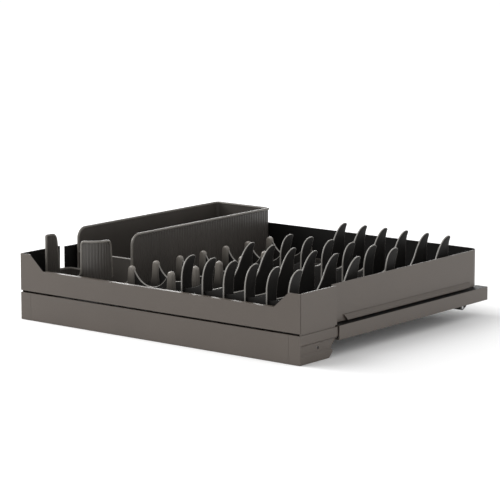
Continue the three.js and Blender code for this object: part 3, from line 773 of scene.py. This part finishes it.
def plate_rack(node):
    low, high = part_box(node)
    width, length, top = ((b - a) / MM for a, b in zip(low, high))
    solids = [insert_base(width, length)]
    outline = [(y + FIN_FRONT, z) for y, z in fin_outline(top)]
    for i in range(FIN_COUNT):
        x = FIN_FIRST + i * FIN_PITCH
        solids.append(slab(outline, tapered(*FIN_HALF, top), FIN_EDGE, along_x, x))
    cuts = []
    for i in range(FIN_COUNT - 1):
        left = FIN_FIRST + i * FIN_PITCH
        web = [(left + u, v) for u, v in web_outline()]
        # Each web takes the painted shade look.
        solids.append(with_look(slab(web, even(WEB_HALF), WEB_EDGE, along_y, WEB_MIDDLE), PAINTED_SHADE_INDEX))
        cuts += [drain_slot(left + 7, left + FIN_PITCH - 7, y) for y in PLATE_DRAINS]
    piece = joined(f"{node}_moulding", THIN_PAINTED_LOOKS, solids, cuts)
    finish_insert(piece, node, low)


# ---- CAD nodes that stay ----
def faces_inward(polygon):
    """True on a face of the tray that looks at its middle, or up from its floor; these faces get the painted
    shade.
    """
    middle = Vector((0.0, 0.0, polygon.center.z))
    towards = (middle - polygon.center).normalized()
    on_floor = polygon.center.z < TRAY_FLOOR_TOP and polygon.normal.z > 0.5
    return on_floor or polygon.normal.dot(towards) > 0.3


def faces_up_on_rail(polygon):
    """True on the rail's upper faces, which get the painted shade."""
    return polygon.normal.z > 0.5 and polygon.center.z > RAIL_TOP


def dress_cad_nodes():
    # Faces picked here take the near-black coat as painted shade.
    painted_shade_masks = {name: faces_inward for name in PAINTED_SHADE_NODES}
    painted_shade_masks |= {"rail_left": faces_up_on_rail, "rail_right": faces_up_on_rail}
    slots = {s["node"]: s["material_slot"] for s in frame["record"]["subparts"]}
    for name, node in frame["nodes"].items():
        slot_name = slots[name]
        node.data.materials.clear()
        node.data.materials.append(LOOKS[slot_name])
        if name in painted_shade_masks:
            node.data.materials.append(PAINTED_SHADE_COAT)
            for polygon in node.data.polygons:
                polygon.material_index = int(painted_shade_masks[name](polygon))
        soften = node.modifiers.new("soft_edges", "BEVEL")
        soften.width = EDGE_WIDTH[slot_name] * MM
        soften.segments = 3
        soften.limit_method = "ANGLE"
        soften.angle_limit = BEVEL_ANGLE
        soften.harden_normals = True


# ---- stage ----
def look_at(thing, location, target):
    thing.location = location
    thing.rotation_euler = (Vector(target) - Vector(location)).to_track_quat("-Z", "Y").to_euler()


def camera():
    data = bpy.data.cameras.new("camera")
    data.lens = CAMERA_LENS
    data.sensor_width = 36.0
    data.clip_end = 200.0
    thing = bpy.data.objects.new("camera", data)
    bpy.context.scene.collection.objects.link(thing)
    azimuth, elevation = math.radians(CAMERA_AZIMUTH), math.radians(CAMERA_ELEVATION)
    level = math.cos(elevation)
    back = Vector((math.sin(azimuth) * level, -math.cos(azimuth) * level, math.sin(elevation)))
    thing.location = CAMERA_TARGET + back * CAMERA_DISTANCE
    thing.rotation_euler = (math.radians(90 - CAMERA_ELEVATION), 0.0, azimuth)
    bpy.context.scene.camera = thing


def floor():
    material, nodes, links = node_material("pale_floor")
    shader = nodes["Principled BSDF"]
    greys = [(0.3, (0.93, 0.93, 0.93)), (0.7, (0.95, 0.95, 0.95))]
    tone = ramp(nodes, links, noise(nodes, links, 0.8), greys)
    links.new(tone, shader.inputs["Base Color"])
    shader.inputs["Roughness"].default_value = 0.9
    shader.inputs["Specular IOR Level"].default_value = 0.1
    bm = bmesh.new()
    bmesh.ops.create_grid(bm, x_segments=8, y_segments=8, size=60.0)
    thing = mesh_object(bm, "floor")
    thing.location.z = cad_box[0].z - 0.0005
    thing.data.materials.append(material)


def softbox(name, location, size, power, target=(0, 0, 0.05)):
    data = bpy.data.lights.new(name, "AREA")
    data.shape = "DISK"
    data.size = size
    data.energy = power
    thing = bpy.data.objects.new(name, data)
    bpy.context.scene.collection.objects.link(thing)
    look_at(thing, location, target)


def studio():
    scene = bpy.context.scene
    world = bpy.data.worlds.new("studio")
    world.use_nodes = True
    sky = world.node_tree.nodes["Background"]
    sky.inputs["Color"].default_value = (1.0, 1.0, 1.0, 1.0)
    sky.inputs["Strength"].default_value = WORLD_STRENGTH
    scene.world = world
    scene.view_settings.view_transform = "Standard"
    key = bpy.data.lights.new("key_light", "SUN")
    key.energy = KEY_STRENGTH
    key.angle = KEY_SPREAD
    key_thing = bpy.data.objects.new("key_light", key)
    scene.collection.objects.link(key_thing)
    look_at(key_thing, KEY_FROM, (0, 0, 0))
    for lamp in SOFTBOXES:
        softbox(*lamp)


camera()
studio()
floor()
dress_cad_nodes()
utensil_box()
cutlery_caddy()
bowl_rack()
for rack in ("plate_rack_front", "plate_rack_rear"):
    plate_rack(rack)
